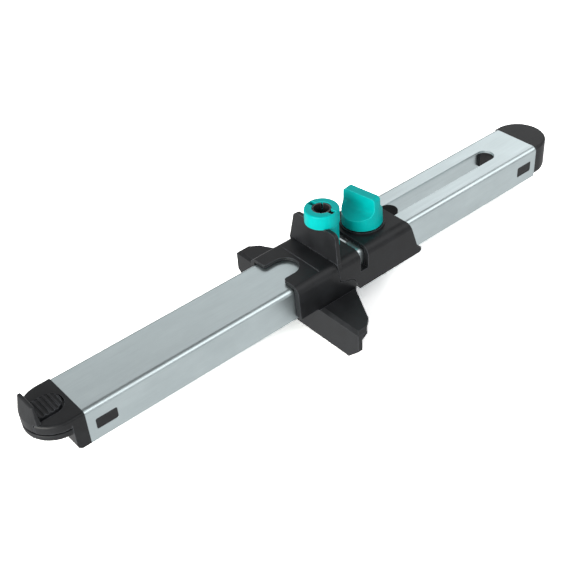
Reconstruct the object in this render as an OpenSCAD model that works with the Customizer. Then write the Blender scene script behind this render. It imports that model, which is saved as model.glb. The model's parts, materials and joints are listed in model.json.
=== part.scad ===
/* [Rail] */
// Length of the bent metal rail
rail_len = 290; // [280:1:400]
// Width of the rail
rail_w = 29.2; // [28:0.1:31]
// Height of the rail
rail_h = 18.2; // [17:0.1:20]
// Sheet thickness of the rail
rail_wall = 1.4; // [1:0.1:1.6]
// Outside radius of the two bends along the rail
rail_bend_r = 2.6; // [1.8:0.1:4]
// Width of the slot in the top of the rail
slot_w = 10.1; // [9.4:0.1:10.6]
// Distance from the nose end of the rail to the slot
slot_start = 128.4; // [100:0.1:132]
// Length of the slot from end to end
slot_len = 141; // [80:1:150]
// Length of the four side windows that the end caps snap into
window_len = 10.8; // [8:0.1:12]
// Height of the side windows
window_h = 5.9; // [4:0.1:7]
// Height of the lower edge of the side windows
window_base = 5.4; // [4:0.1:7]
// Distance from the end of the rail to its side windows
window_inset = 4; // [3:0.1:5]
// Radius of the corners of the side windows
window_r = 0.9; // [0.4:0.1:1.5]

/* [End caps] */
// Distance from the nose end of the rail to the tip of the nose
nose_reach = 21; // [20:0.5:24]
// Thickness of the nose plate
nose_plate_h = 4.3; // [4.3:0.1:5.5]
// Height of the dark gap between the nose plate and the shoe
nose_gap = 1; // [0.5:0.1:1.2]
// Thickness of the shoe under the nose plate
shoe_h = 3.3; // [2.2:0.1:4]
// Length of the block that closes the rail behind the nose
cap_block_len = 6.5; // [5:0.1:6.5]
// Wall thickness of the end caps
cap_wall = 1.8; // [1.4:0.1:2.4]
// Radius of the top rim of the end caps
cap_rim_r = 1.3; // [0.5:0.1:1.4]
// Radius of the lower corner of the end caps
cap_foot_r = 3; // [1:0.1:4]
// Length of the plugs that hold the end caps in the rail
plug_len = 15.5; // [15.5:0.5:20]
// Length of the straight part of the tail cap
tail_straight = 2.6; // [1:0.1:4]

/* [Finger slide] */
// How far the finger slide travels out of the nose
slide_travel = 8; // [4:0.5:8]
// Width of the finger slide in its slot
slide_w = 12.6; // [11:0.1:13]
// Distance from the end of the rail to the inner end of the slide
slide_inset = 2.1; // [1.5:0.1:3]
// Depth of the finger slide below the top of the nose plate
slide_drop = 1.1; // [0.8:0.1:1.4]
// Width of the runners that keep the slide in the nose plate
runner_w = 1.6; // [1.2:0.1:1.8]
// Height of the runners
runner_h = 2.1; // [1.5:0.1:2.4]
// Width of the ribbed thumb pad
pad_w = 11; // [9:0.1:11.4]
// Height of the thumb pad above the nose plate
pad_rise = 1.1; // [0.6:0.1:2]
// Number of ribs on the thumb pad
rib_count = 6; // [4:1:7]
// Width of one rib
rib_w = 0.9; // [0.6:0.1:1.1]
// Height of one rib
rib_h = 0.5; // [0.3:0.1:0.8]
// Height of the fin above the nose plate
fin_h = 8.8; // [6:0.1:12]
// Thickness of the fin at its top
fin_t = 2; // [1.4:0.1:3]
// Width of the fin at its foot
fin_foot_w = 16; // [13:0.5:18]
// Width of the fin at its top
fin_top_w = 12.4; // [8:0.1:13]
// How far the fin leans back from the rim of the nose
fin_lean = 2.6; // [1:0.1:3]

/* [Carriage] */
// Distance from the nose end of the rail to the pencil bore, as stored
pencil_x = 146.2; // [142:0.1:150]
// Distance from the pencil bore to the clamp bolt
bolt_step = 26.2; // [25:0.1:28]
// Running gap between the carriage and the rail
run_gap = 0.3; // [0.2:0.05:0.4]
// Thickness of the side walls of the carriage
cheek_t = 2.9; // [2.5:0.1:4]
// Thickness of the roof of the carriage
roof_t = 1.9; // [1.8:0.1:4]
// Radius of the long top edges of the carriage
body_round = 4.8; // [2:0.1:5]
// Distance from the pencil bore to the nose end of the saddle
saddle_reach = 31.7; // [31:0.1:40]
// Length of the lower front part of the saddle's roof
roof_step_x = 16; // [15:0.1:20]
// Height of the step in the saddle's roof
roof_step_h = 0.2; // [0.1:0.1:0.8]
// How far the end of the saddle slants back on its way down
saddle_lean = 0.8; // [0.4:0.1:4]
// Height of the lower edge of the saddle above the foot of the rail
saddle_base = 1.2; // [0.2:0.1:2]
// Width of the round notch in the saddle
notch_w = 14; // [10:0.5:16]
// Depth of the round notch in the saddle
notch_len = 13.9; // [10:0.1:14.5]
// Radius of the corners beside the round notch
lug_r = 2; // [0.8:0.1:3]
// Distance from the pencil bore to the joint line on the roof
seam_x = 7.1; // [6.9:0.1:7.6]
// How far the lower cheek of the fence reaches past the joint line
tongue_len = 13.4; // [13:0.1:16]
// Width of the joint line between the fence and the slider body
seam_gap = 0.3; // [0.1:0.05:0.35]
// Distance from the clamp bolt to the tail end of the roof
body_reach = 16.4; // [15:0.1:20]
// Size of the eased edge at the tail end of the roof
tail_ease = 1; // [0.4:0.1:1.6]
// How far the tail end of the slider body slants out on its way down
body_lean = 5.4; // [3:0.1:6]
// How far the toe of the slider body stands out at the bottom
body_toe = 2.6; // [1:0.1:3]
// Depth of the slider body below the foot of the rail
lip_drop = 1.4; // [1.2:0.1:3]
// Width of the lips that hook under the rail
lip_w = 3; // [2:0.1:4]
// Distance from the pencil bore to the sight window
sight_step = 8.2; // [8.2:0.1:9]
// Width of the sight window
sight_w = 5; // [4.7:0.1:5.4]
// Height of the lower edge of the sight window
sight_base = 8.6; // [7.5:0.1:10]

/* [Fence] */
// Full width of the fence from tip to tip
fence_w = 91.2; // [80:0.4:110]
// Distance from the pencil bore to the straight face of the fence
fence_step = 20.2; // [18:0.1:21]
// Height of the wings above the foot of the rail
fence_rise = 3; // [1:0.1:4]
// Depth of the fence below the foot of the rail
fence_drop = 15.3; // [12:0.1:20]
// Length of the fence along the rail
fence_depth = 25.2; // [24:0.1:25.4]
// Thickness of a wing at its tip
tip_t = 5; // [4.6:0.1:7]
// Size of the bevel along the straight face
face_bevel = 1.5; // [0.8:0.1:2]
// Length of the cut lower corners of the wings
corner_cut = 7; // [4:0.5:9]
// Wall thickness of the hollow fence
fence_wall = 2.2; // [1.8:0.1:2.6]
// Thickness of the wall behind the straight face
face_wall = 2.6; // [2:0.1:3.2]
// Width of the sloping gutter beside the saddle
gutter_w = 2.4; // [1:0.1:4]
// Depth of the gutter beside the saddle
gutter_drop = 2.5; // [1:0.1:4]
// Number of stiffening ribs in one wing
wing_rib_count = 2; // [1:1:3]

/* [Pencil clamp] */
// Diameter of the pencil bore
pencil_bore_d = 8; // [7:0.1:8.2]
// Height of the upright plate above the roof of the carriage
ear_h = 15; // [14:0.1:20]
// Thickness of the upright plate
ear_t = 2.2; // [1.8:0.1:2.6]
// Radius of the corners of the upright plate
ear_r = 3.5; // [2:0.1:4.5]
// How much narrower the upright plate is at its top, on each side
ear_taper = 2.4; // [1:0.1:4]
// How far the upright plate leans towards the pencil
ear_lean = 1.3; // [0.5:0.1:1.5]
// Height of the pencil tower above the roof
tower_h = 13.9; // [12:0.1:14.8]
// Diameter of the tower around the pencil bore
tower_d = 11.2; // [10.8:0.1:11.6]
// Outside diameter of the half-round sleeve
sleeve_d = 16.2; // [15:0.1:16.2]
// Outside diameter of the clamp ring
ring_d = 17.2; // [16:0.1:17.4]
// Height of the clamp ring
ring_h = 7.4; // [6:0.1:9]
// Radius of the top rim of the clamp ring
ring_rim_r = 0.9; // [0.4:0.1:1.2]
// Thickness of the top of the clamp ring
ring_top_t = 1.2; // [0.9:0.1:1.6]
// Diameter of the hole in the top of the clamp ring
ring_hole_d = 9.8; // [9.6:0.1:10.4]
// Width of the two notches in the clamp ring
ring_notch_w = 3; // [1.6:0.1:3.6]
// Angle at which the clamp ring is stored
ring_angle = 9; // [-30:1:30]
// Outside diameter of the collet
collet_d = 12.4; // [11.4:0.1:12.6]
// Number of slits in the collet
slit_count = 4; // [3:1:6]
// Width of one slit in the collet
slit_w = 0.8; // [0.6:0.1:1]

/* [Clamp knob] */
// Diameter of the foot of the knob
knob_d = 20.8; // [19:0.1:21.6]
// Diameter of the knob at its top
knob_top_d = 19.8; // [17:0.1:20.4]
// Height of the knob
knob_h = 16.5; // [15:0.1:20]
// Height of the shelf on both sides of the grip
knob_shelf = 5.2; // [4.8:0.1:8]
// Radius of the upper corners of the grip bar
grip_corner_r = 2.4; // [0.8:0.1:4]
// Thickness of the grip bar of the knob
grip_t = 4.7; // [3.6:0.1:6]
// Hollow radius where the grip bar meets the shelf
grip_hollow_r = 4; // [2:0.1:5]
// Angle at which the grip bar is stored
knob_angle = 8; // [-30:1:30]
// Diameter of the raised ring under the knob
boss_d = 22.6; // [20:0.1:23]
// Height of the raised ring under the knob
boss_h = 1.1; // [0.3:0.1:1.2]
// Diameter of the clamp bolt
bolt_d = 5.9; // [5:0.1:6]
// Height of the clamp bolt above the roof
bolt_rise = 8.6; // [8:0.1:8.9]
// Diameter of the head of the clamp bolt
bolt_head_d = 11; // [9:0.1:12]
// Height of the head of the clamp bolt
bolt_head_h = 3; // [2.5:0.1:4]
// Diameter of the threaded insert in the knob
insert_d = 10; // [9:0.1:10.6]
// Length of the threaded insert
insert_h = 5; // [4:0.1:5.2]
// Length of the clamp plate along the rail
plate_len = 22; // [16:0.5:26]
// Width of the clamp plate
plate_w = 20; // [16:0.5:22]
// Thickness of the clamp plate
plate_t = 2; // [1.5:0.1:3]
// Thickness of the friction pad on the clamp plate
pad_t = 1; // [0.8:0.1:1.5]
// Length of the guide that runs in the slot
guide_len = 35.5; // [32:0.5:37]
// How far the guide stands out behind the roof
guide_reach = 6.9; // [4:0.1:8]
// Diameter of the screws
screw_d = 2.2; // [1.8:0.1:2.6]
// Diameter of the countersunk screw heads
screw_head_d = 4.2; // [3.4:0.1:4.6]

/* [Hidden] */
$fn = 64;

// Overrun of every cut past the face that it opens
over = 1;
// Gap between pieces that sit in each other and don't move
seat_gap = 0.1;
// Gap of the bolt in the thread of its insert
thread_gap = 0.06;
// Gap of the pad under the rail and of the washer under the knob
thrust_gap = 0.05;

rail_half = rail_w / 2;
cap_half = rail_half;
web_z = rail_h - rail_wall;
nose_cx = rail_half - nose_reach;
plate_z = rail_h - nose_plate_h;
shoe_z = plate_z - nose_gap - shoe_h;
frame_x = (rail_len + tail_straight + rail_half - nose_reach) / 2;

body_half = rail_half + run_gap + cheek_t;
roof_z = rail_h + run_gap;
body_top = roof_z + roof_t;
bolt_x = pencil_x + bolt_step;
body_end = bolt_x + body_reach;
seam_top = pencil_x - seam_x;
face_x = pencil_x - fence_step;

boss_top = body_top + boss_h;
washer_t = 1;
washer_d = 14;
knob_base = boss_top + run_gap;
knob_top = knob_base + knob_h;
insert_z = boss_top + washer_t + 2 * run_gap;
tower_top = body_top + tower_h;
ring_base = tower_top + run_gap;
ring_top = ring_base + ring_h;

function arc(cx, cy, r, from, to, steps) =
    [for (i = [0:steps]) let (a = from + (to - from) * i / steps) [cx + r * cos(a), cy + r * sin(a)]];

// Moves a piece from the rail's own frame to the frame of the whole tool:
// the middle of its length, the centre line and the foot of the fence.
module in_frame() translate([-frame_x, 0, fence_drop]) children();

// Draws a profile of Y and Z along the rail.
module along(x, len) translate([x, 0, 0]) rotate([90, 0, 90]) linear_extrude(len) children();

// Draws a profile of X and Z across the rail.
module across(w) rotate([90, 0, 0]) linear_extrude(w, center = true) children();

// A rectangle with its two upper corners rounded, standing on the X axis.
module arch_2d(w, h, r) {
    translate([-w / 2, 0]) square([w, h - r]);
    translate([r - w / 2, 0]) square([w - 2 * r, h]);
    for (s = [-1, 1]) translate([s * (w / 2 - r), h - r]) circle(r);
}

// A slot with round ends, centred on x.
module slot_2d(x, len, w) {
    translate([x - len / 2 + w / 2, -w / 2]) square([len - w, w]);
    for (s = [-1, 1]) translate([x + s * (len - w) / 2, 0]) circle(w / 2);
}

// Half of a disc's section, with its rims rounded below, unless below is zero, and above.
module disc_2d(r, h, below, above) {
    translate([0, below]) square([r, h - below - above]);
    if (below > 0) {
        translate([r - below, below]) circle(below);
        square([r - below, below]);
    }
    translate([r - above, h - above]) circle(above);
    translate([0, h - above]) square([r - above, above]);
}

// A rectangle with four rounded corners, whose lower left corner lies at [x, y].
module plate_2d(x, y, w, h, r) {
    translate([x + r, y]) square([w - 2 * r, h]);
    translate([x, y + r]) square([w, h - 2 * r]);
    for (dx = [r, w - r], dy = [r, h - r]) translate([x + dx, y + dy]) circle(r);
}

module windows(gap, proud) {
    across(rail_w + 2 * proud) for (x = [window_inset, rail_len - window_inset - window_len])
        plate_2d(x + gap, window_base + gap, window_len - 2 * gap, window_h - 2 * gap, window_r - gap);
}

// The rail is one strip of zinc-plated steel, punched and bent to a channel.
module rail() {
    color([0.72, 0.76, 0.79]) in_frame() difference() {
        along(0, rail_len) difference() {
            arch_2d(rail_w, rail_h, rail_bend_r);
            translate([0, -over])
                arch_2d(rail_w - 2 * rail_wall, web_z + over, rail_bend_r - rail_wall);
        }
        translate([0, 0, web_z - over]) linear_extrude(rail_wall + 2 * over)
            slot_2d(slot_start + slot_len / 2, slot_len, slot_w);
        windows(0, over);
    }
}

// A plug inside one end of the rail: two cheeks with a lug in each side window.
module plug(x, len) {
    plug_half = rail_half - rail_wall - seat_gap;
    plug_top = web_z - seat_gap;
    difference() {
        union() {
            translate([x, 0, 0]) along(0, len) translate([0, rail_wall])
                arch_2d(2 * plug_half, plug_top - rail_wall, rail_bend_r - rail_wall);
            intersection() {
                windows(seat_gap, -seat_gap);
                translate([x, -rail_w, 0]) cube([len, 2 * rail_w, rail_h]);
            }
        }
        translate([x - over, cap_wall - plug_half, -over])
            cube([len + 2 * over, 2 * (plug_half - cap_wall), plug_top + 2 * over]);
    }
}

// The outline of the finger slide, open at the rim of the nose.
module slide_2d(gap) {
    round_x = -slide_inset - slide_w / 2;
    translate([round_x, 0]) circle(slide_w / 2 + gap);
    translate([nose_cx - rail_w, -slide_w / 2 - gap])
        square([round_x - nose_cx + rail_w, slide_w + 2 * gap]);
}

// Two runners keep the slide in the plate, and the end of their groove stops it.
runner_x = -slide_inset - slide_w / 2 - 0.8 * run_gap;
runner_len = slide_w / 4;
runner_end = runner_x - slide_travel;

module runners(x_from, x_to, gap) {
    translate([x_from - gap, -slide_w / 2 - runner_w - gap, plate_z - gap])
        cube([x_to - x_from + 2 * gap, slide_w + 2 * (runner_w + gap), runner_h + 2 * gap]);
}

// Least wall between the head of a screw and the edge of its piece
screw_edge = 0.5;
shoe_screw_x = -cap_block_len - seat_gap - screw_head_d / 2 - screw_edge;
shoe_screw_y = (rail_half + slide_w / 2 + runner_w + run_gap) / 2;

module at_shoe_screw(side) translate([shoe_screw_x, side * shoe_screw_y, 0]) children();

module at_shoe_screws() for (side = [-1, 1]) at_shoe_screw(side) children();

// The nose cap carries the finger slide and the shoe, and closes the rail.
module nose_cap() {
    color([0.13, 0.13, 0.14]) in_frame() difference() {
        union() {
            intersection() {
                union() {
                    translate([nose_cx, 0, plate_z]) rotate_extrude()
                        disc_2d(cap_half, nose_plate_h, 0, cap_rim_r);
                    translate([0, 0, plate_z]) along(nose_cx, -nose_cx)
                        arch_2d(rail_w, nose_plate_h, cap_rim_r);
                }
                translate([-nose_reach - over, -rail_w, 0])
                    cube([nose_reach + over, 2 * rail_w, rail_h + over]);
            }
            across(rail_w) polygon(concat(
                arc(cap_foot_r - cap_block_len, cap_foot_r, cap_foot_r, 180, 270, 6),
                [[0, 0], [0, plate_z + cap_rim_r], [-cap_block_len, plate_z + cap_rim_r]]));
            at_shoe_screws() translate([0, 0, plate_z - nose_gap])
                cylinder(h = nose_gap, d = screw_head_d);
            plug(-seat_gap, plug_len + seat_gap);
        }
        translate([cap_wall - cap_block_len, cap_wall + seat_gap - rail_half + rail_wall, -over])
            cube([cap_block_len + over, rail_w - 2 * (rail_wall + cap_wall + seat_gap),
                  plate_z - cap_wall + over]);
        translate([0, 0, plate_z - over]) linear_extrude(nose_plate_h + 2 * over)
            slide_2d(run_gap);
        runners(runner_end, runner_x + runner_len, run_gap);
        at_shoe_screws() translate([0, 0, shoe_z])
            cylinder(h = nose_gap + shoe_h + nose_plate_h - cap_rim_r, d = screw_d + 2 * seat_gap);
    }
}

// The shoe is the wear plate under the nose, held by two screws.
module nose_shoe() {
    color([0.16, 0.16, 0.16]) in_frame() difference() {
        intersection() {
            translate([nose_cx, 0, shoe_z]) rotate_extrude()
                disc_2d(cap_half, shoe_h, cap_rim_r, cap_rim_r / 3);
            translate([-nose_reach - over, -rail_w, 0])
                cube([nose_reach + over - cap_block_len - seat_gap, 2 * rail_w, rail_h]);
        }
        at_shoe_screws() {
            translate([0, 0, shoe_z - over])
                cylinder(h = shoe_h + 2 * over, d = screw_d + 2 * seat_gap);
            translate([0, 0, shoe_z - over]) cylinder(h = over, d = screw_head_d + 2 * seat_gap);
            translate([0, 0, shoe_z]) cylinder(h = screw_head_d / 3, d1 = screw_head_d + 2 * seat_gap,
                                               d2 = screw_d + 2 * seat_gap);
        }
    }
}

// A countersunk screw whose flat head lies at z and whose shank points up.
module screw(z, len) {
    translate([0, 0, z]) difference() {
        union() {
            cylinder(h = len, d = screw_d);
            cylinder(h = screw_head_d / 3 - seat_gap, d1 = screw_head_d, d2 = screw_d);
        }
        for (a = [0, 90]) rotate([0, 0, a])
            translate([-screw_d / 2, -screw_d / 10, -over]) cube([screw_d, screw_d / 5, over + screw_d / 3]);
    }
}

module nose_screw(side) {
    color([0.6, 0.6, 0.6]) in_frame() at_shoe_screw(side)
        screw(shoe_z, shoe_h + nose_gap + nose_plate_h / 2);
}

module nose_screw_near() nose_screw(-1);

module nose_screw_far() nose_screw(1);

// A stretch of the thumb pad, whose inner end is round as the slide's.
module pad(x, len, low, high) {
    translate([0, 0, low]) linear_extrude(high - low) intersection() {
        slide_2d((pad_w - slide_w) / 2);
        translate([x, -slide_w]) square([len, 2 * slide_w]);
    }
}

// The finger slide has a ribbed thumb pad and a fin, and pushes out of the nose.
module finger_slide() {
    pad_end = -slide_inset - (slide_w - pad_w) / 2;
    pad_start = nose_cx - cap_half + fin_t + fin_lean + rib_w;
    pad_len = pad_end - pad_start;
    pad_z = rail_h - slide_drop;
    color([0.15, 0.15, 0.16]) in_frame() {
        intersection() {
            translate([nose_cx, 0, plate_z]) rotate_extrude()
                disc_2d(cap_half, nose_plate_h, cap_rim_r / 3, cap_rim_r / 3);
            translate([0, 0, plate_z]) linear_extrude(nose_plate_h - slide_drop) slide_2d(0);
            translate([-nose_reach - over, -rail_w, 0])
                cube([nose_reach + over, 2 * rail_w, rail_h]);
        }
        difference() {
            runners(runner_x, runner_x + runner_len, 0);
            translate([-nose_reach, -rail_w, plate_z + runner_h]) cube([rail_w, 2 * rail_w, over]);
        }
        translate([pad_start, -slide_w / 4, plate_z + run_gap - nose_gap])
            cube([pad_len, slide_w / 2, nose_gap]);
        pad(pad_start - rib_w, pad_len + rib_w, pad_z, rail_h + pad_rise - rib_h);
        for (i = [0:rib_count - 1])
            pad(pad_start + i * (pad_len - rib_w) / (rib_count - 1), rib_w,
                rail_h + pad_rise - rib_h, rail_h + pad_rise);
        fin();
    }
}

// The fin grows out of the rim of the slide and leans back over the pad.
module fin() {
    foot_z = rail_h + run_gap / 2;
    foot_x = nose_cx - sqrt(cap_half * cap_half - fin_foot_w * fin_foot_w / 4);
    hull() {
        intersection() {
            translate([nose_cx, 0, foot_z]) cylinder(h = fin_t / 4, r = cap_half, $fn = 64);
            translate([-nose_reach - over, -fin_foot_w / 2, foot_z])
                cube([foot_x + fin_t + nose_reach + over, fin_foot_w, fin_t / 4]);
        }
        for (s = [-1, 1])
            translate([nose_cx - cap_half + fin_lean + fin_t / 2, s * (fin_top_w - fin_t) / 2,
                       rail_h + fin_h - fin_t / 2])
                sphere(d = fin_t, $fn = 24);
    }
    intersection() {
        translate([nose_cx, 0, rail_h - slide_drop])
            cylinder(h = slide_drop + run_gap, r = cap_half);
        translate([-nose_reach - over, -slide_w / 2, rail_h - slide_drop])
            cube([foot_x + fin_t + nose_reach + over, slide_w, slide_drop + run_gap]);
    }
}

// Upright section of the tail cap on one side of the centre line.
module tail_half_2d() disc_2d(cap_half, rail_h, cap_foot_r, cap_rim_r);

// The tail cap is a plain round end, hollow from below.
module tail_cap() {
    tail_cx = rail_len + tail_straight;
    hollow_r = cap_half - rail_wall - cap_wall;
    color([0.13, 0.13, 0.14]) in_frame() {
        difference() {
            union() {
                along(rail_len, tail_straight) {
                    tail_half_2d();
                    mirror([1, 0]) tail_half_2d();
                }
                intersection() {
                    translate([tail_cx, 0, 0]) rotate_extrude() tail_half_2d();
                    translate([tail_cx, -rail_w, 0]) cube([rail_w, 2 * rail_w, rail_h]);
                }
            }
            intersection() {
                translate([0, 0, -over]) linear_extrude(rail_h - cap_wall + over) {
                    translate([tail_cx, 0]) circle(hollow_r);
                    translate([rail_len, -hollow_r]) square([tail_straight, 2 * hollow_r]);
                }
                translate([rail_len + cap_wall, -rail_w, -over]) cube([rail_w, 2 * rail_w, rail_h + over]);
            }
        }
        plug(rail_len - plug_len, plug_len);
    }
}

// Heights and places of the joint line between fence and slider body, as
// shares of the tongue's length and of the rail's height.
seam_shares = [[0.1, 0.61], [0.14, 0.53], [0.21, 0.5], [0.70, 0.39], [0.80, 0.34], [0.87, 0.25], [1, -0.02]];

function seam_points(gap) = concat([[seam_top + gap, body_top + over]],
    [for (p = seam_shares) [seam_top + gap + tongue_len * p[0], rail_h * p[1] + gap]]);

// The space that the rail takes in the carriage, with its running gap.
module rail_tunnel(below) {
    translate([-rail_len / 2, -rail_half - run_gap, -below])
        cube([2 * rail_len, rail_w + 2 * run_gap, roof_z + below]);
}

// Outline of the fence seen from above: shares of its length and half width.
wing_shares = [[0.455, 0.89], [0.87, 0.46]];

module fence_2d() {
    half = fence_w / 2;
    side = concat([[0, half], [tip_t, half]],
        [for (p = wing_shares) [fence_depth * p[0], half * p[1]]], [[fence_depth, body_half]]);
    translate([face_x, 0]) polygon(concat(side,
        [for (i = [len(side) - 1:-1:0]) [side[i][0], -side[i][1]]]));
}

module pencil_hole(d, from, to) translate([pencil_x, 0, from]) cylinder(h = to - from, d = d);

// Coring of the wings and of the part under the rail, open below. Behind its
// face each wing is a plate, held up by sloping ribs.
module fence_cores() {
    wing_root = body_half + gutter_w + fence_wall;
    wing_len = fence_w / 2 - wing_root;
    cell = wing_len / (wing_rib_count + 1);
    rib_t = fence_wall / 2;
    plate_base = fence_rise - fence_wall;
    for (s = [-1, 1]) difference() {
        translate([face_x + face_wall, s > 0 ? wing_root : -fence_w / 2 - over, -fence_drop - over])
            cube([fence_depth, wing_len + over, fence_drop + plate_base + over]);
        for (i = [1:wing_rib_count]) translate([0, s * (wing_root + i * cell), 0]) across(rib_t)
            polygon([[face_x, fence_rise], [face_x, -fence_drop], [face_x + face_wall + rib_t, -fence_drop],
                     [face_x + fence_depth, plate_base], [face_x + fence_depth, fence_rise]]);
    }
    difference() {
        translate([face_x + fence_wall, fence_wall - rail_half, -fence_drop - over])
            cube([fence_depth - 2 * fence_wall, rail_w - 2 * fence_wall,
                  fence_drop - run_gap - fence_wall + over]);
        translate([face_x, -fence_wall / 2, -fence_drop]) cube([fence_depth, fence_wall, fence_drop]);
        pencil_hole(pencil_bore_d + 2 * (fence_wall + run_gap), -fence_drop, 0);
    }
}

// The gutter in the top of the bar slopes down to the foot of the saddle.
module gutters() {
    along(face_x - over, fence_depth + 2 * over) for (s = [-1, 1])
        polygon([[s * body_half, fence_rise - gutter_drop], [s * (body_half + gutter_w), fence_rise],
                 [s * (body_half + gutter_w), fence_rise + over], [s * body_half, fence_rise + over]]);
}

// The fence is one moulding: a saddle over the rail and a wide bar below it.
module fence() {
    half = fence_w / 2;
    color([0.17, 0.17, 0.18]) in_frame() difference() {
        union() {
            intersection() {
                along(pencil_x - saddle_reach, 2 * saddle_reach) translate([0, saddle_base])
                    arch_2d(2 * body_half, body_top - saddle_base, body_round);
                across(2 * fence_w) polygon(concat(
                    [[pencil_x - saddle_reach + roof_step_x + roof_step_h, body_top + over],
                     [pencil_x - saddle_reach + roof_step_x + roof_step_h, body_top],
                     [pencil_x - saddle_reach + roof_step_x, body_top - roof_step_h],
                     [pencil_x - saddle_reach, body_top - roof_step_h],
                     [pencil_x - saddle_reach, roof_z],
                     [pencil_x - saddle_reach + saddle_lean, saddle_base],
                     [seam_top + tongue_len, saddle_base]],
                    [for (i = [len(seam_shares):-1:0]) seam_points(0)[i]]));
            }
            difference() {
                intersection() {
                    translate([0, 0, -fence_drop]) linear_extrude(fence_drop + fence_rise) fence_2d();
                    along(face_x, fence_depth) polygon([
                        [-half, fence_rise - face_bevel], [-half, corner_cut - fence_drop],
                        [corner_cut - half, -fence_drop], [half - corner_cut, -fence_drop],
                        [half, corner_cut - fence_drop], [half, fence_rise - face_bevel],
                        [half - face_bevel, fence_rise], [face_bevel - half, fence_rise]]);
                    across(2 * fence_w) polygon([
                        [face_x, -fence_drop], [face_x, fence_rise - face_bevel],
                        [face_x + face_bevel, fence_rise], [face_x + fence_depth + over, fence_rise],
                        [face_x + fence_depth + over, -fence_drop]]);
                }
                gutters();
            }
            pencil_hole(pencil_bore_d + 2 * (fence_wall + run_gap), -fence_drop, -run_gap);
        }
        rail_tunnel(run_gap);
        fence_cores();
        pencil_hole(pencil_bore_d + 4 * run_gap, -fence_drop - over, over);
        notch();
    }
}

// The round notch in the nose end of the saddle, with eased corners.
module notch() {
    notch_x = pencil_x - saddle_reach + notch_len;
    translate([0, 0, roof_z - over]) linear_extrude(roof_t + 2 * over) {
        translate([notch_x - notch_w / 2, 0]) circle(notch_w / 2);
        translate([notch_x - notch_w / 2 - notch_len, -notch_w / 2]) square([notch_len, notch_w]);
        for (s = [-1, 1]) difference() {
            translate([notch_x - notch_len - over, s * notch_w / 2 - lug_r])
                square([lug_r + over, 2 * lug_r]);
            translate([notch_x - notch_len + lug_r, s * (notch_w / 2 + lug_r)])
                circle(lug_r);
        }
    }
}

// The slanted tail end of the slider body, seen from the side.
function tail_points() = [
    [body_end - tail_ease, body_top + over], [body_end - tail_ease, body_top], [body_end, body_top - tail_ease],
    [body_end + body_lean, lip_drop + lip_w / 2], [body_end + body_lean + body_toe, lip_drop],
    [body_end + body_lean + body_toe, -lip_drop / 2], [body_end + body_lean + body_toe / 2, -lip_drop]];

// The upright plate is nearly as wide as the body at its foot.
ear_foot = body_half - run_gap;

module ear_2d() {
    top = body_half - ear_taper;
    polygon(concat([[-ear_foot, -seam_gap]],
        arc(-top + ear_r, ear_h - ear_r, ear_r, 180, 90, 8),
        arc(top - ear_r, ear_h - ear_r, ear_r, 90, 0, 8), [[ear_foot, -seam_gap]]));
}

// Everything on the tail side of the joint line, down to the lips.
module body_side_2d() {
    polygon(concat([for (i = [len(seam_shares):-1:0]) seam_points(seam_gap)[i]],
        tail_points(), [[seam_top + tongue_len + 4 * seam_gap, -lip_drop]]));
}

// The slider body holds the pencil tower, the sight window and the clamp.
module slider_body() {
    lean = atan(ear_lean / ear_h);
    lip_half = rail_half + 2 * run_gap - lip_w;
    color([0.14, 0.14, 0.15]) in_frame() difference() {
        union() {
            intersection() {
                along(seam_top, 2 * body_end) translate([0, -lip_drop])
                    arch_2d(2 * body_half, body_top + lip_drop, body_round);
                across(2 * body_half) body_side_2d();
            }
            intersection() {
                translate([seam_top, -ear_foot, body_top - body_round])
                    cube([2 * seam_gap + ear_t, 2 * ear_foot, body_round]);
                across(2 * body_half) body_side_2d();
            }
            translate([bolt_x, 0, body_top - over]) cylinder(h = boss_h + over, d = boss_d);
            translate([seam_top + 2 * seam_gap, 0, body_top]) rotate([0, lean, 0])
                along(0, ear_t) ear_2d();
            pencil_hole(tower_d, roof_z, tower_top);
        }
        rail_tunnel(run_gap);
        translate([-over, -lip_half, -lip_drop - over])
            cube([rail_len, 2 * lip_half, lip_drop + 2 * over]);
        sight_window();
        pencil_hole(pencil_bore_d, 0, tower_top + over);
        pencil_hole(ring_d + 2 * run_gap, tower_top, ring_top + over);
        translate([bolt_x, 0, roof_z - over])
            cylinder(h = roof_t + boss_h + 2 * over, d = bolt_d + 2 * run_gap);
        at_guide_screws() translate([0, 0, roof_z - over])
            cylinder(h = roof_t * 0.75 + over, d = screw_d + 2 * seat_gap);
    }
}

module sight_window() {
    translate([pencil_x + sight_step, -body_half - over, sight_base])
        cube([sight_w, 2 * (body_half + over), body_top]);
}

// The guide runs in the slot and keeps the carriage square.
guide_end = bolt_x + body_reach + guide_reach;
guide_z = web_z + run_gap / 2;

guide_screw_xs = [bolt_x - bolt_step / 3, bolt_x + body_reach - screw_head_d];

module at_guide_screws() for (x = guide_screw_xs) translate([x, 0, 0]) children();

module slot_guide() {
    color([0.08, 0.08, 0.08]) in_frame() difference() {
        translate([0, 0, guide_z]) linear_extrude(roof_z - guide_z)
            slot_2d(guide_end - guide_len / 2, guide_len, slot_w - 2 * run_gap);
        translate([bolt_x, 0, 0]) cylinder(h = body_top, d = bolt_d + 2 * run_gap);
        at_guide_screws() {
            cylinder(h = body_top, d = screw_d + 2 * seat_gap);
            translate([0, 0, guide_z]) cylinder(h = screw_head_d / 3, d1 = screw_head_d + 2 * seat_gap,
                                                d2 = screw_d + 2 * seat_gap);
        }
    }
}

module guide_screw(x) {
    color([0.6, 0.6, 0.6]) in_frame() translate([x, 0, 0])
        screw(guide_z, roof_z - guide_z + roof_t * 0.65);
}

module guide_screw_nose() guide_screw(guide_screw_xs[0]);

module guide_screw_tail() guide_screw(guide_screw_xs[1]);

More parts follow.
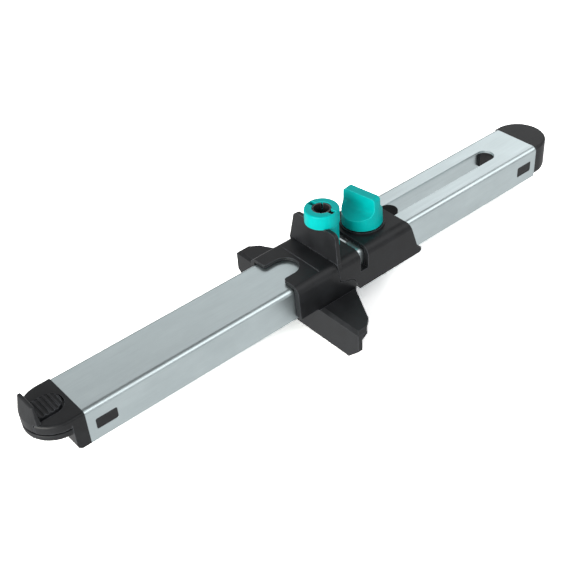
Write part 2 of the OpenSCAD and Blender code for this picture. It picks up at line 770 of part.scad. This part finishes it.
// The half-round sleeve wraps the tail side of the pencil tower.
module pencil_sleeve() {
    color([0, 0.6, 0.6]) in_frame() difference() {
        pencil_hole(sleeve_d, body_top, tower_top);
        pencil_hole(tower_d + 2 * seat_gap, body_top - over, tower_top + over);
        translate([pencil_x - sleeve_d, -sleeve_d, body_top - over])
            cube([sleeve_d - seam_x + 2 * seam_gap + ear_t + ear_lean + seat_gap, 2 * sleeve_d,
                  tower_h + 2 * over]);
    }
}

// The collet closes on the pencil when the clamp ring is turned.
module pencil_collet() {
    shoulder = ring_top - ring_top_t - run_gap;
    collet_top = ring_top - run_gap;
    color([0.1, 0.1, 0.1]) in_frame() difference() {
        union() {
            pencil_hole(collet_d, tower_top, shoulder);
            pencil_hole(ring_hole_d - 2 * run_gap, tower_top, collet_top);
        }
        pencil_hole(pencil_bore_d, tower_top - over, collet_top + over);
        for (i = [0:slit_count - 1]) translate([pencil_x, 0, tower_top + ring_h / 6])
            rotate([0, 0, 45 + i * 360 / slit_count]) translate([0, -slit_w / 2, 0])
                cube([collet_d, slit_w, ring_h]);
    }
}

module clamp_ring() {
    color([0, 0.72, 0.7]) in_frame() difference() {
        translate([pencil_x, 0, ring_base]) rotate_extrude()
            disc_2d(ring_d / 2, ring_h, ring_rim_r / 3, ring_rim_r);
        pencil_hole(collet_d + 2 * run_gap, ring_base - over, ring_top - ring_top_t);
        pencil_hole(ring_hole_d, ring_base, ring_top + over);
        translate([pencil_x, 0, ring_top - 2 * ring_top_t]) rotate([0, 0, ring_angle])
            translate([-ring_notch_w / 2, ring_rim_r - ring_d / 2, 0])
                cube([ring_notch_w, ring_d - 2 * ring_rim_r, 2 * ring_top_t + over]);
    }
}

module knob_washer() {
    color([0.7, 0.7, 0.7]) in_frame() translate([bolt_x, 0, boss_top]) difference() {
        cylinder(h = washer_t, d = washer_d);
        translate([0, 0, -over]) cylinder(h = washer_t + 2 * over, d = bolt_d + 2 * run_gap);
    }
}

// One side of the knob is scooped out down to a sloping shelf.
module scoop_2d() {
    hollow_x = grip_t / 2 + grip_hollow_r;
    shelf_z = knob_base + knob_shelf + grip_hollow_r / 2;
    polygon(concat([[knob_d, knob_top + over], [grip_t / 2, knob_top + over]],
        arc(hollow_x, shelf_z + grip_hollow_r, grip_hollow_r, 180, 255, 8),
        [[knob_d / 2 + over, knob_base + knob_shelf - over / 4], [knob_d, knob_base + knob_shelf - over]]));
}

// Outline of the knob seen from one scooped side. Below its round corners it
// is wider than the cone of the knob, so that only the corners cut the cone.
module grip_2d() {
    half = knob_top_d / 2 + (knob_d - knob_top_d) * grip_corner_r / knob_h;
    polygon(concat([[-knob_d, knob_base - over]],
        arc(grip_corner_r - half, knob_top - grip_corner_r, grip_corner_r, 180, 90, 8),
        arc(half - grip_corner_r, knob_top - grip_corner_r, grip_corner_r, 90, 0, 8),
        [[knob_d, knob_base - over]]));
}

module clamp_knob() {
    color([0, 0.72, 0.7]) in_frame() translate([bolt_x, 0, 0]) rotate([0, 0, knob_angle]) difference() {
        intersection() {
            translate([0, 0, knob_base])
                cylinder(h = knob_h, d1 = knob_d, d2 = knob_top_d);
            along(-knob_d, 2 * knob_d) grip_2d();
        }
        for (a = [0, 180]) rotate([0, 0, a]) across(2 * knob_d) scoop_2d();
        translate([0, 0, knob_base - over])
            cylinder(h = over + washer_t + thrust_gap - run_gap, d = washer_d + 2 * run_gap);
        translate([0, 0, knob_base]) cylinder(h = insert_z + insert_h - knob_base, d = insert_d + 2 * seat_gap);
        translate([0, 0, knob_base]) cylinder(h = body_top + bolt_rise + run_gap - knob_base, d = bolt_d + 2 * run_gap);
    }
}

module knob_insert() {
    color([0.8, 0.65, 0.3]) in_frame() translate([bolt_x, 0, insert_z]) difference() {
        cylinder(h = insert_h, d = insert_d);
        translate([0, 0, -over]) cylinder(h = insert_h + 2 * over, d = bolt_d + 2 * thread_gap);
    }
}

// The clamp bolt, its plate and the pad pull up against the inside of the rail.
pad_top = web_z - thrust_gap;
plate_top = pad_top - pad_t;
plate_base = plate_top - plate_t;

module clamp_bolt() {
    color([0.7, 0.7, 0.7]) in_frame() translate([bolt_x, 0, 0]) {
        translate([0, 0, plate_base]) cylinder(h = body_top + bolt_rise - plate_base, d = bolt_d);
        translate([-bolt_d / 2, -bolt_d / 2, plate_base]) cube([bolt_d, bolt_d, plate_t]);
        translate([0, 0, plate_base - bolt_head_h])
            cylinder(h = bolt_head_h, d1 = bolt_head_d - bolt_head_h, d2 = bolt_head_d);
    }
}

module clamp_plate() {
    color([0.62, 0.63, 0.65]) in_frame() translate([bolt_x, 0, plate_base]) difference() {
        translate([-plate_len / 2, -plate_w / 2, 0]) cube([plate_len, plate_w, plate_t]);
        translate([-bolt_d / 2 - seat_gap, -bolt_d / 2 - seat_gap, -over])
            cube([bolt_d + 2 * seat_gap, bolt_d + 2 * seat_gap, plate_t + 2 * over]);
    }
}

module clamp_pad() {
    color([0.2, 0.2, 0.2]) in_frame() translate([bolt_x, 0, plate_top]) difference() {
        translate([-plate_len / 2, -plate_w / 2, 0]) cube([plate_len, plate_w, pad_t]);
        translate([0, 0, -over]) cylinder(h = pad_t + 2 * over, d = slot_w);
    }
}

rail();
nose_cap();
nose_shoe();
nose_screw_near();
nose_screw_far();
finger_slide();
tail_cap();
fence();
slider_body();
slot_guide();
guide_screw_nose();
guide_screw_tail();
pencil_sleeve();
pencil_collet();
clamp_ring();
knob_washer();
clamp_knob();
knob_insert();
clamp_bolt();
clamp_plate();
clamp_pad();
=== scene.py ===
import json
import math

import bmesh
import bpy
from mathutils import Matrix, Vector

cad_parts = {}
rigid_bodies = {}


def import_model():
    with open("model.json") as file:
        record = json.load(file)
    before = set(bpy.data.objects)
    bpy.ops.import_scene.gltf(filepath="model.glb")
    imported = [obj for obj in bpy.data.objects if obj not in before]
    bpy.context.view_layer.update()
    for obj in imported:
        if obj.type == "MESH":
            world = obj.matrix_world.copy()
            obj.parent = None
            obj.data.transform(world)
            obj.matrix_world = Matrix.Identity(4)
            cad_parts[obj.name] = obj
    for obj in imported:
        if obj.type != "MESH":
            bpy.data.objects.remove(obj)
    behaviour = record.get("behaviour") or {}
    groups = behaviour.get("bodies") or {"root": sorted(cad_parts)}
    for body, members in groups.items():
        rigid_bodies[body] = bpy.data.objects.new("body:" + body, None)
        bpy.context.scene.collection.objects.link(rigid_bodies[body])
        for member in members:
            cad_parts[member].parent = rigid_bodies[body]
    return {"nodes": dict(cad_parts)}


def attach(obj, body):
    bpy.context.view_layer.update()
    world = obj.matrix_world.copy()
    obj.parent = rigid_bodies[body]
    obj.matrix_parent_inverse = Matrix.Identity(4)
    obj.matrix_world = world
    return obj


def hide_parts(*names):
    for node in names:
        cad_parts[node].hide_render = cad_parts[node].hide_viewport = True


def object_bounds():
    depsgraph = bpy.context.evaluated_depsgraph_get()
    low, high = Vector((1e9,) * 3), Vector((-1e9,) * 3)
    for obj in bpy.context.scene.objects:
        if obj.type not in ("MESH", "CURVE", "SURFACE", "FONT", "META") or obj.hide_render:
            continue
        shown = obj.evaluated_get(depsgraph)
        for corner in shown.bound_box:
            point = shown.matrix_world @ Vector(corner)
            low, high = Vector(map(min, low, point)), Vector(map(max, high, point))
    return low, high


for leftover in list(bpy.data.objects):
    bpy.data.objects.remove(leftover)

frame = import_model()
cad_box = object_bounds()
mm = 0.001


# The camera stands over the nose, to the left of the tool, and looks down along
# the rail. Its place and its lens were measured from the rail's edges.

camera_place = Vector((-261.1, -310.6, 336.4)) * mm
camera_right = Vector((0.75698, -0.65087, -0.0578))
camera_up = Vector((0.44452, 0.4481, 0.77564))
camera_back = camera_right.cross(camera_up)
film_width = 36.0
lens_length = 63.92
nearest_seen = 10 * mm
farthest_seen = 20.0

camera_data = bpy.data.cameras.new("camera")
camera_data.sensor_width = film_width
camera_data.lens = lens_length
camera_data.clip_start = nearest_seen
camera_data.clip_end = farthest_seen
camera = bpy.data.objects.new("camera", camera_data)
camera.matrix_world = Matrix.Translation(camera_place) @ Matrix(
    (camera_right, camera_up, camera_back)).transposed().to_4x4()
bpy.context.scene.collection.objects.link(camera)
bpy.context.scene.camera = camera
bpy.context.scene.view_settings.view_transform = "Standard"


# The rail is one strip of zinc-plated steel, slit, punched and bent to a channel.
# Rolling leaves fine lines along it, and the zinc has faint cloudy patches.

class Nodes:
    """A material's node tree, with short calls for the nodes that its finish needs."""

    def __init__(self, name):
        self.material = bpy.data.materials.new(name)
        self.material.use_nodes = True
        self.tree = self.material.node_tree
        self.shader = self.tree.nodes["Principled BSDF"]
        self.place = self.node("ShaderNodeTexCoord").outputs["Object"]

    def node(self, kind, **settings):
        made = self.tree.nodes.new(kind)
        for key, value in settings.items():
            setattr(made, key, value)
        return made

    def link(self, source, target):
        self.tree.links.new(source, target)

    def stretched(self, stretch):
        """The place on the piece, scaled along each axis by the stretch."""
        mapping = self.node("ShaderNodeMapping")
        self.link(self.place, mapping.inputs["Vector"])
        mapping.inputs["Scale"].default_value = stretch
        return mapping.outputs["Vector"]

    def noise(self, size, stretch=(1, 1, 1), detail=3.0, rough=0.5):
        """Cloudy noise whose lumps are about size across, in metres."""
        noise = self.node("ShaderNodeTexNoise")
        self.link(self.stretched(stretch), noise.inputs["Vector"])
        noise.inputs["Scale"].default_value = 1 / size
        noise.inputs["Detail"].default_value = detail
        noise.inputs["Roughness"].default_value = rough
        return noise.outputs["Fac"]

    def cells(self, size, stretch=(1, 1, 1)):
        """Grain with cells about size across."""
        grain = self.node("ShaderNodeTexVoronoi")
        self.link(self.stretched(stretch), grain.inputs["Vector"])
        grain.inputs["Scale"].default_value = 1 / size
        return grain.outputs["Distance"]

    def span(self, source, low, high, start=0.3, end=0.7):
        """Turns the source's values from start to end into values from low to high."""
        ranged = self.node("ShaderNodeMapRange")
        self.link(source, ranged.inputs["Value"])
        ranged.inputs["From Min"].default_value = start
        ranged.inputs["From Max"].default_value = end
        ranged.inputs["To Min"].default_value = low
        ranged.inputs["To Max"].default_value = high
        return ranged.outputs["Result"]

    def tint(self, source, first, last):
        """Colours the source's values between two stops of (value, colour)."""
        ramp = self.node("ShaderNodeValToRGB")
        self.link(source, ramp.inputs["Fac"])
        for stop, (value, colour) in zip(ramp.color_ramp.elements, (first, last)):
            stop.position = value
            stop.color = (*colour, 1)
        return ramp.outputs["Color"]

    def blend(self, kind, share, first, second):
        """Mixes a colour source with a second one, or with a plain colour."""
        mix = self.node("ShaderNodeMix", data_type="RGBA", blend_type=kind)
        if isinstance(share, float):
            mix.inputs["Factor"].default_value = share
        else:
            self.link(share, mix.inputs["Factor"])
        self.link(first, mix.inputs["A"])
        if isinstance(second, tuple):
            mix.inputs["B"].default_value = (*second, 1)
        else:
            self.link(second, mix.inputs["B"])
        return mix.outputs["Result"]

    def product(self, first, second):
        times = self.node("ShaderNodeMath", operation="MULTIPLY")
        self.link(first, times.inputs[0])
        self.link(second, times.inputs[1])
        return times.outputs["Value"]

    def bumps(self, *layers):
        """Stacks bump layers of (height source, depth in metres, strength)."""
        normal = None
        for height, depth, strength in layers:
            bump = self.node("ShaderNodeBump")
            bump.inputs["Distance"].default_value = depth
            bump.inputs["Strength"].default_value = strength
            self.link(height, bump.inputs["Height"])
            if normal:
                self.link(normal, bump.inputs["Normal"])
            normal = bump.outputs["Normal"]
        self.link(normal, self.shader.inputs["Normal"])

    def finish(self, colour, rough, metallic=0.0, specular=0.5):
        """Links the colour and the roughness, sets the rest and gives the material."""
        self.link(colour, self.shader.inputs["Base Color"])
        self.link(rough, self.shader.inputs["Roughness"])
        self.shader.inputs["Metallic"].default_value = metallic
        self.shader.inputs["Specular IOR Level"].default_value = specular
        return self.material


def zinc_steel():
    zinc = Nodes("zinc_plated_steel")
    dull_zinc = (0.49, 0.56, 0.575)
    bright_zinc = (0.555, 0.63, 0.645)
    line_zinc = (0.43, 0.49, 0.5)
    patch_middle = (0.8, 0.82, 0.84)
    white = (1, 1, 1)
    line_size, line_share, line_strength = 0.5 * mm, 0.16, 0.35
    cloud_size, cloud_start, cloud_end, cloud_share = 14 * mm, 0.35, 0.65, 0.5
    patch_size, patch_rim, patch_share = 5 * mm, 0.8, 0.1
    speck_size, speck_strength = 0.12 * mm, 0.4
    satin, dull = 0.27, 0.42
    scratch_depth = 0.004 * mm

    lines = zinc.noise(line_size, stretch=(0.02, 1, 1), detail=2.0)
    clouds = zinc.noise(cloud_size, stretch=(0.5, 1, 1), detail=4.0, rough=0.6)
    patches = zinc.cells(patch_size, stretch=(0.7, 1, 1))
    colour = zinc.tint(clouds, (cloud_start, dull_zinc), (cloud_end, bright_zinc))
    patch_shade = zinc.tint(patches, (0.0, patch_middle), (patch_rim, white))
    colour = zinc.blend("MULTIPLY", patch_share, colour, patch_shade)
    colour = zinc.blend("MIX", zinc.span(lines, 0.0, line_share), colour, line_zinc)
    rough = zinc.span(zinc.blend("MIX", cloud_share, lines, clouds), satin, dull)
    specks = zinc.noise(speck_size)
    zinc.bumps((lines, scratch_depth, line_strength), (specks, scratch_depth, speck_strength))
    return zinc.finish(colour, rough, metallic=1.0)


def softened(node, edge):
    """A copy of a CAD node whose sharp edges are eased by edge, in metres."""
    same_place = 0.002 * mm
    flat_angle = math.radians(0.6)
    sharp_angle = math.radians(32)
    edge_steps = 3

    form = bmesh.new()
    form.from_mesh(frame["nodes"][node].data)
    bmesh.ops.remove_doubles(form, verts=form.verts, dist=same_place)
    bmesh.ops.dissolve_limit(form, angle_limit=flat_angle, verts=form.verts, edges=form.edges)
    mesh = bpy.data.meshes.new(node + "_form")
    form.to_mesh(mesh)
    form.free()
    for face in mesh.polygons:
        face.use_smooth = True
    piece = bpy.data.objects.new(node + "_form", mesh)
    bpy.context.scene.collection.objects.link(piece)
    bevel = piece.modifiers.new("eased_edges", "BEVEL")
    bevel.width = edge
    bevel.segments = edge_steps
    bevel.limit_method = "ANGLE"
    bevel.angle_limit = sharp_angle
    bevel.miter_outer = "MITER_ARC"
    bevel.use_clamp_overlap = True
    return piece


def finished(node, edge, body, material):
    """Makes the eased piece that stands for a node, and gives it material and body."""
    piece = softened(node, edge)
    flat_faces = piece.modifiers.new("flat_faces", "WEIGHTED_NORMAL")
    flat_faces.keep_sharp = True
    piece.data.materials.append(material)
    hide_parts(node)
    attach(piece, body)


punched_edge = 0.2 * mm
finished("rail", punched_edge, "bar", zinc_steel())


# The end caps, the shoe and the finger slide are moulded in black plastic with a
# fine spark-eroded grain. The caps hold in the rail's windows with their lugs.

def convex_edges(plastic, reach):
    """1 on a convex edge, falling to 0 at about the reach from it, in metres."""
    edge_rays = 6
    full_turn, no_turn = 0.9, 0.995
    hollow, raised = 0.495, 0.51

    surface = plastic.node("ShaderNodeNewGeometry")
    eased = plastic.node("ShaderNodeBevel", samples=edge_rays)
    eased.inputs["Radius"].default_value = reach
    agree = plastic.node("ShaderNodeVectorMath", operation="DOT_PRODUCT")
    plastic.link(surface.outputs["Normal"], agree.inputs[0])
    plastic.link(eased.outputs["Normal"], agree.inputs[1])
    turned = plastic.span(agree.outputs["Value"], 1.0, 0.0, full_turn, no_turn)
    convex = plastic.span(surface.outputs["Pointiness"], 0.0, 1.0, hollow, raised)
    return plastic.product(turned, convex)


def black_plastic(name, tone, grain, gloss, shine=0.24):
    """Black plastic of a tone, with a grain size in metres and a mean roughness."""
    plastic = Nodes(name)
    dark_times, light_times, worn_and_highlit_times = 0.8, 1.3, 8
    dark = tuple(dark_times * part for part in tone)
    light = tuple(light_times * part for part in tone)
    worn_and_highlit = tuple(worn_and_highlit_times * part for part in tone)
    cloud_size, cloud_start, cloud_end = 9 * mm, 0.35, 0.65
    scuff_size, least_wear_and_highlight, most_wear_and_highlight = 3 * mm, 0.25, 0.95
    smoother, rougher, pit_share = 0.06, 0.1, 0.5
    wear_and_highlight_reach = 0.6 * mm
    pit_depth, pit_strength = 0.03 * mm, 0.5
    wave_depth, wave_strength = 0.05 * mm, 0.15

    clouds = plastic.noise(cloud_size, detail=4.0, rough=0.6)
    pits = plastic.noise(grain, detail=2.0)
    colour = plastic.tint(clouds, (cloud_start, dark), (cloud_end, light))
    # Convex edges are mixed toward a colour eight times the tone, broken up by scuff noise:
    # partly edge wear, partly a painted edge highlight.
    scuffs = plastic.noise(scuff_size, detail=5.0, rough=0.7)
    wear_and_highlight = plastic.span(scuffs, least_wear_and_highlight, most_wear_and_highlight, start=0.4, end=0.7)
    wear_and_highlight = plastic.product(convex_edges(plastic, wear_and_highlight_reach), wear_and_highlight)
    colour = plastic.blend("MIX", wear_and_highlight, colour, worn_and_highlit)
    uneven = plastic.blend("MIX", pit_share, clouds, pits)
    rough = plastic.span(uneven, gloss - smoother, gloss + rougher)
    plastic.bumps((pits, pit_depth, pit_strength), (clouds, wave_depth, wave_strength))
    return plastic.finish(colour, rough, specular=shine)


cap_black = black_plastic(
    "cap_plastic", tone=(0.0112, 0.012, 0.0135), grain=0.3 * mm, gloss=0.42)
nose_edge = 0.25 * mm
round_edge = 0.3 * mm
slide_edge = 0.2 * mm
finished("nose_cap", nose_edge, "bar", cap_black)
finished("nose_shoe", round_edge, "bar", cap_black)
finished("tail_cap", round_edge, "bar", cap_black)
finished("finger_slide", slide_edge, "tip", cap_black)


# The fence is one black moulding: the saddle over the rail and the wide bar under
# it, with eased edges all round and a fine grain.

body_black = black_plastic(
    "body_plastic", tone=(0.0102, 0.011, 0.0125), grain=0.35 * mm, gloss=0.4)
body_edge = 0.5 * mm
finished("fence", body_edge, "carriage", body_black)


# The slider body is a second moulding in the same plastic, behind the fence. It has
# the plate beside the ring, the sight window and the round seat of the knob.

finished("slider_body", body_edge, "carriage", body_black)


# The guide, the collet and the pad are small inner parts: a matt glide block in the
# slot, a slit sleeve that closes on the pencil, and a rubber pad under the rail's web.

inner_edge = 0.15 * mm
glide_black = black_plastic(
    "glide_plastic", tone=(0.004, 0.004, 0.0045), grain=0.6 * mm, gloss=0.5, shine=0.08)
finished("slot_guide", inner_edge, "carriage", glide_black)
collet_black = black_plastic(
    "collet_plastic", tone=(0.022, 0.022, 0.023), grain=0.4 * mm, gloss=0.34)
finished("pencil_collet", inner_edge, "carriage", collet_black)
pad_edge = 0.1 * mm
pad_black = black_plastic(
    "pad_rubber", tone=(0.025, 0.025, 0.025), grain=0.5 * mm, gloss=0.75)
finished("clamp_pad", pad_edge, "clamp", pad_black)


# The sleeve, the ring and the knob are moulded in teal plastic with a satin gloss.
# Their convex edges are painted a lighter teal, a painted highlight.

def teal_plastic():
    teal = Nodes("teal_plastic")
    deep_teal = (0.0, 0.35, 0.345)
    light_teal = (0.0, 0.4, 0.39)
    highlight_teal = (0.03, 0.6, 0.58)
    highlight_reach, highlight_share = 0.6 * mm, 0.7
    cloud_size, cloud_start, cloud_end = 7 * mm, 0.3, 0.7
    satin, dull, low_shine = 0.3, 0.42, 0.08
    pit_size, pit_depth, pit_strength, pit_share = 0.5 * mm, 0.02 * mm, 0.35, 0.4
    wave_depth, wave_strength = 0.05 * mm, 0.15

    clouds = teal.noise(cloud_size, detail=4.0, rough=0.6)
    pits = teal.noise(pit_size, detail=2.0)
    colour = teal.tint(clouds, (cloud_start, deep_teal), (cloud_end, light_teal))
    # Painted highlight: the convex edges are mixed toward a lighter teal.
    edge_highlight = teal.span(convex_edges(teal, highlight_reach), 0.0, highlight_share, start=0.0, end=1.0)
    colour = teal.blend("MIX", edge_highlight, colour, highlight_teal)
    rough = teal.span(teal.blend("MIX", pit_share, clouds, pits), satin, dull)
    teal.bumps((pits, pit_depth, pit_strength), (clouds, wave_depth, wave_strength))
    return teal.finish(colour, rough, specular=low_shine)


teal_parts = teal_plastic()
sleeve_edge = 0.3 * mm
ring_edge = 0.25 * mm
knob_edge = 0.35 * mm
finished("pencil_sleeve", sleeve_edge, "carriage", teal_parts)
finished("clamp_ring", ring_edge, "ring", teal_parts)
finished("clamp_knob", knob_edge, "knob", teal_parts)


# The washer, the clamp bolt with its plate and the small screws are plain plated
# steel, and the threaded insert in the knob is brass.

def small_metal(name, dark, light):
    """Bare metal that shades from dark to light, with fine scratches."""
    metal = Nodes(name)
    polished, dull = 0.25, 0.45
    stain_size, stain_start, stain_end = 3 * mm, 0.3, 0.7
    scratch_size, scratch_depth, scratch_strength, scratch_share = 0.3 * mm, 0.008 * mm, 0.5, 0.5

    stains = metal.noise(stain_size, detail=4.0)
    scratches = metal.noise(scratch_size, stretch=(0.1, 1, 1), detail=3.0)
    colour = metal.tint(stains, (stain_start, dark), (stain_end, light))
    rough = metal.span(metal.blend("MIX", scratch_share, stains, scratches), polished, dull)
    metal.bumps((scratches, scratch_depth, scratch_strength))
    return metal.finish(colour, rough, metallic=1.0)


turned_edge = 0.12 * mm
screw_metal = small_metal("screw_steel", dark=(0.42, 0.43, 0.44), light=(0.58, 0.59, 0.6))
insert_metal = small_metal("insert_brass", dark=(0.6, 0.42, 0.17), light=(0.75, 0.56, 0.27))
for node, body, slot, material in (
        ("nose_screw_near", "bar", "screw_steel", screw_metal),
        ("nose_screw_far", "bar", "screw_steel", screw_metal),
        ("guide_screw_nose", "carriage", "screw_steel", screw_metal),
        ("guide_screw_tail", "carriage", "screw_steel", screw_metal),
        ("knob_washer", "carriage", "screw_steel", screw_metal),
        ("knob_insert", "knob", "insert_brass", insert_metal),
        ("clamp_bolt", "clamp", "screw_steel", screw_metal),
        ("clamp_plate", "clamp", "screw_steel", screw_metal)):
    finished(node, turned_edge, body, material)


# The floor is a wide pale sheet that shows white where no shadow falls on it. In
# reflections it is an even white, without shadows.

def floor_white():
    sheet = Nodes("floor_white")
    pale, paler = (0.8, 0.8, 0.8), (0.82, 0.82, 0.82)
    lit_white = (2.2, 2.2, 2.2)
    reflected_white = 0.9
    dull, dullest = 0.9, 1.0
    cloud_size, dull_size = 0.4, 0.2

    light_path = sheet.node("ShaderNodeLightPath")
    plain = sheet.tint(sheet.noise(cloud_size), (0.0, pale), (1.0, paler))
    seen = sheet.blend("MIX", light_path.outputs["Is Camera Ray"], plain, lit_white)
    mirrored = sheet.node("ShaderNodeEmission")
    mirrored.inputs["Strength"].default_value = reflected_white
    shown = sheet.node("ShaderNodeMixShader")
    sheet.link(light_path.outputs["Is Glossy Ray"], shown.inputs["Fac"])
    sheet.link(sheet.shader.outputs["BSDF"], shown.inputs[1])
    sheet.link(mirrored.outputs["Emission"], shown.inputs[2])
    sheet.link(shown.outputs["Shader"], sheet.tree.nodes["Material Output"].inputs["Surface"])
    rough = sheet.span(sheet.noise(dull_size), dull, dullest)
    return sheet.finish(seen, rough, specular=0.0)


floor_half = 3.0
floor_gap = 0.05 * mm
floor_form = bmesh.new()
bmesh.ops.create_grid(floor_form, x_segments=2, y_segments=2, size=floor_half)
floor_mesh = bpy.data.meshes.new("floor")
floor_form.to_mesh(floor_mesh)
floor_form.free()
floor_mesh.materials.append(floor_white())
floor = bpy.data.objects.new("floor", floor_mesh)
floor.location.z = cad_box[0][2] - floor_gap
bpy.context.scene.collection.objects.link(floor)


# The room is white to the camera. In reflections it has a bright band above the
# horizon and a darker ceiling, and three soft lamps stand in it.

world = bpy.data.worlds.new("room")
bpy.context.scene.world = world
world.use_nodes = True
room = world.node_tree
background = room.nodes["Background"]
background.inputs["Color"].default_value = (1, 1, 1, 1)
seen_level = 1.0
fill_level = 0.5
horizon_level, band_level, ceiling_level = 0.4, 1.6, 0.2
band_start, band_middle, band_end = 0.42, 0.62, 0.75


def room_level(source, low, high, start=0.0, end=1.0):
    """Turns the source's values from start to end into levels from low to high."""
    ranged = room.nodes.new("ShaderNodeMapRange")
    room.links.new(source, ranged.inputs["Value"])
    ranged.inputs["From Min"].default_value = start
    ranged.inputs["From Max"].default_value = end
    ranged.inputs["To Min"].default_value = low
    ranged.inputs["To Max"].default_value = high
    return ranged.outputs["Result"]


ray = room.nodes.new("ShaderNodeLightPath")
direction = room.nodes.new("ShaderNodeTexCoord")
height = room.nodes.new("ShaderNodeSeparateXYZ")
room.links.new(direction.outputs["Generated"], height.inputs["Vector"])
rising = room_level(height.outputs["Z"], horizon_level, band_level, band_start, band_middle)
falling = room_level(height.outputs["Z"], band_level, ceiling_level, band_middle, band_end)
reflected = room.nodes.new("ShaderNodeMath")
reflected.operation = "MINIMUM"
room.links.new(rising, reflected.inputs[0])
room.links.new(falling, reflected.inputs[1])
mix = room.nodes.new("ShaderNodeMix")
room.links.new(ray.outputs["Is Glossy Ray"], mix.inputs["Factor"])
room.links.new(room_level(ray.outputs["Is Camera Ray"], fill_level, seen_level), mix.inputs["A"])
room.links.new(reflected.outputs["Value"], mix.inputs["B"])
room.links.new(mix.outputs["Result"], background.inputs["Strength"])


def soft_lamp(name, place, aim, size, power, colour=(1, 1, 1)):
    """A rectangular lamp of a size in metres and a power in watts that faces its aim."""
    lamp_data = bpy.data.lights.new(name, "AREA")
    lamp_data.shape = "RECTANGLE"
    lamp_data.size, lamp_data.size_y = size
    lamp_data.energy = power
    lamp_data.color = colour
    lamp = bpy.data.objects.new(name, lamp_data)
    lamp.location = place
    lamp.rotation_euler = (Vector(aim) - Vector(place)).to_track_quat("-Z", "Y").to_euler()
    bpy.context.scene.collection.objects.link(lamp)


soft_lamp("key_lamp", place=(0.75, -0.95, 1.05), aim=(0, 0, 0), size=(1.7, 1.3), power=8.5)
soft_lamp("side_lamp", place=(-1.3, -0.35, 0.35), aim=(0, 0, 0), size=(1.1, 0.85), power=34.0,
          colour=(1, 0.985, 0.93))
soft_lamp("tail_lamp", place=(1.25, 0.85, 0.75), aim=(0.1, 0, 0), size=(0.6, 0.6), power=1.0)
